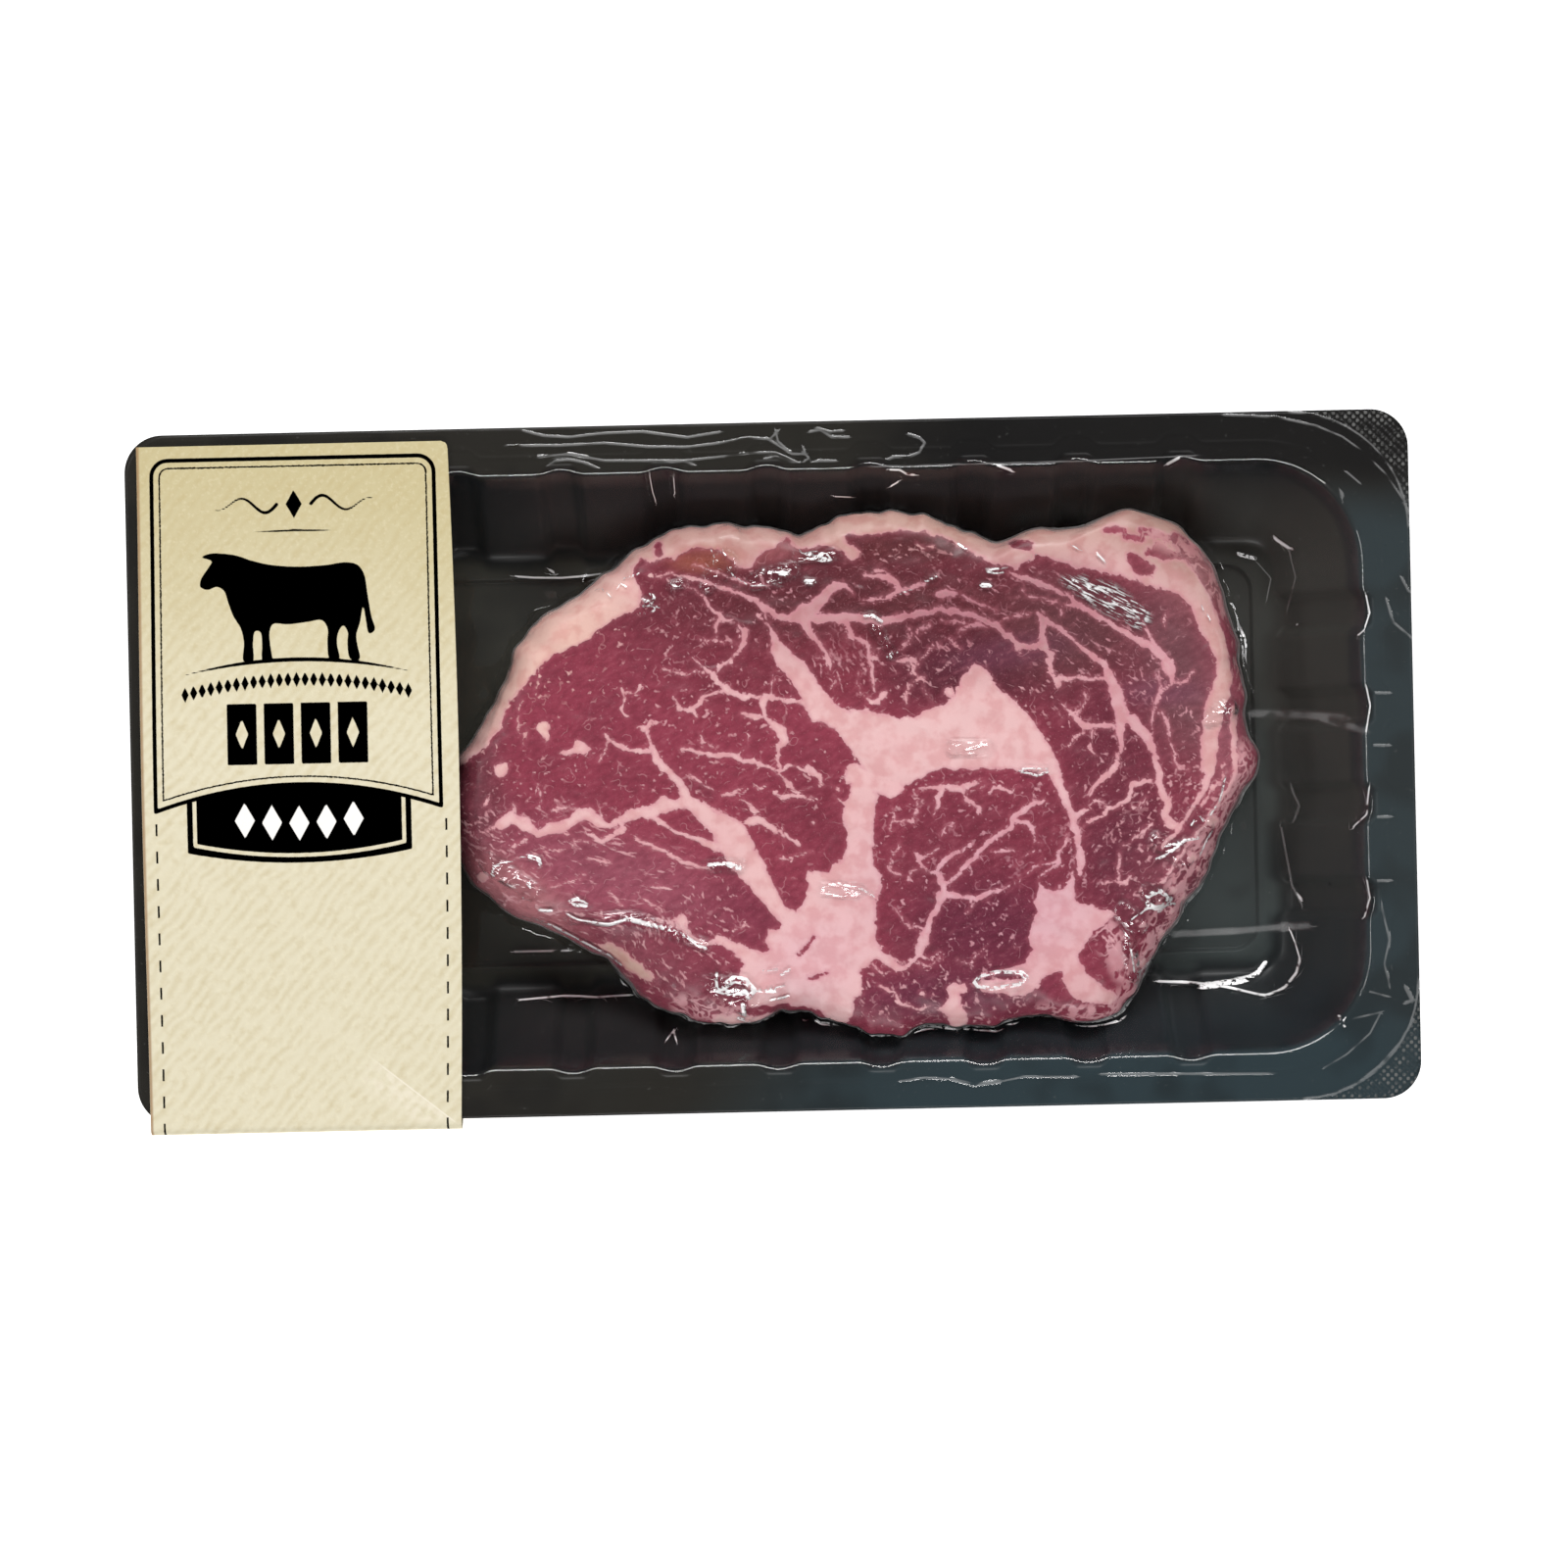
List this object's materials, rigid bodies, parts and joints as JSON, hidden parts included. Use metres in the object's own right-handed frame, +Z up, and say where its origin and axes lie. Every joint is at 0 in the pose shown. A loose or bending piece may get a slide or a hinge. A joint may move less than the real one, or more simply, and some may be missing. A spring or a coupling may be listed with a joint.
{
  "type": "vacuum-packed ribeye steak",
  "caption": "Raw ribeye steak sealed under clear skin film on a black ribbed tray, with a printed card band across one end.",
  "frame": {"origin": "middle of the flat pad that the tray stands on", "axes": "+X along the tray away from the card band, +Y towards the band's plain end, +Z up"},
  "size_m": [0.27, 0.1472, 0.0239],
  "materials": {
    "tray": "glossy black thermoformed plastic",
    "meat": "moist raw beef with pale fat marbling",
    "film": "clear glossy plastic film",
    "card": "uncoated cream card with black print"
  },
  "bodies": {
    "root": {"tray": "tray", "steak": "meat", "skin_film": "film", "card_band": "card"}
  },
  "joints": []
}
